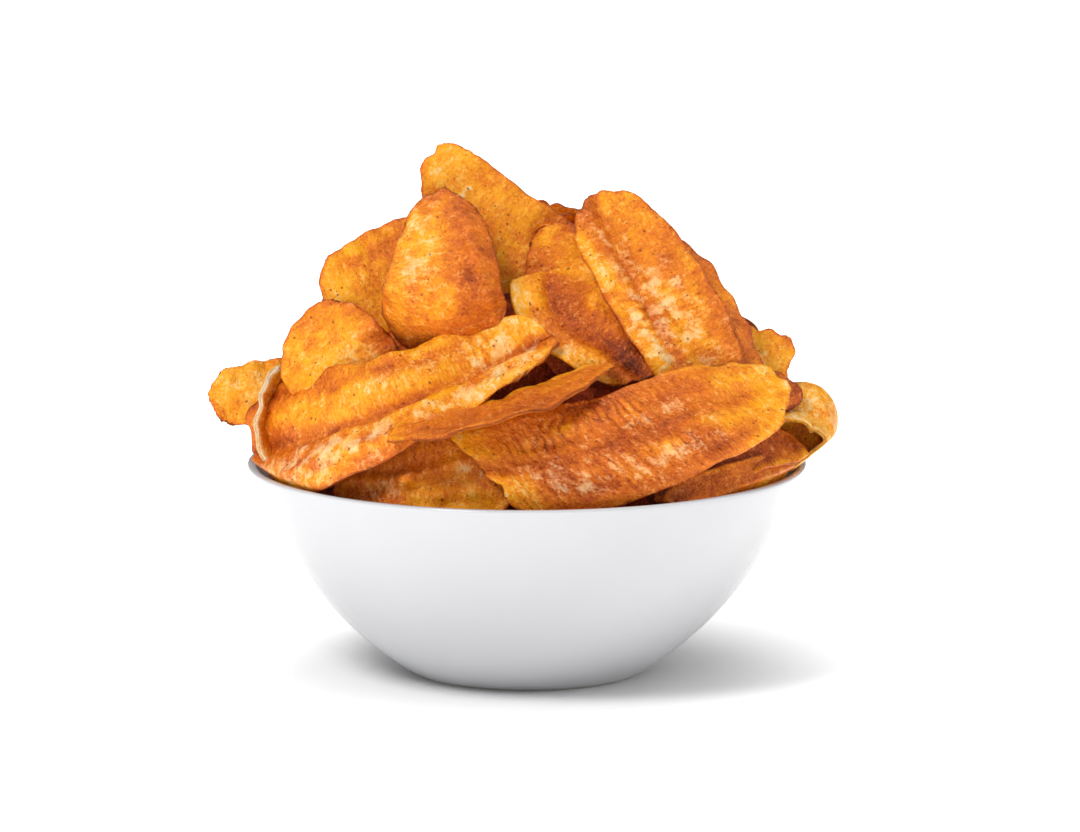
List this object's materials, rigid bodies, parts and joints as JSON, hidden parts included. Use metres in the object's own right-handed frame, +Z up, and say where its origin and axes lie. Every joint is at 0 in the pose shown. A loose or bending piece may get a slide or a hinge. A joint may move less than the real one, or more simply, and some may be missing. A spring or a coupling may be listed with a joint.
{
  "type": "bowl of banana chips",
  "caption": "Plain white round bowl heaped high over its rim with long, seasoned, deep-fried banana slices.",
  "frame": {"origin": "centre of the flat underside of the bowl", "axes": "+Z up, the rim is level; the side shown in the picture faces -Y, with the highest slice to its left of centre"},
  "size_m": [0.2014, 0.1796, 0.1724],
  "materials": {
    "white_glaze": "gloss",
    "fried_banana": "satin"
  },
  "bodies": {
    "root": {"bowl": "white_glaze", "banana_chips": "fried_banana"}
  },
  "joints": []
}
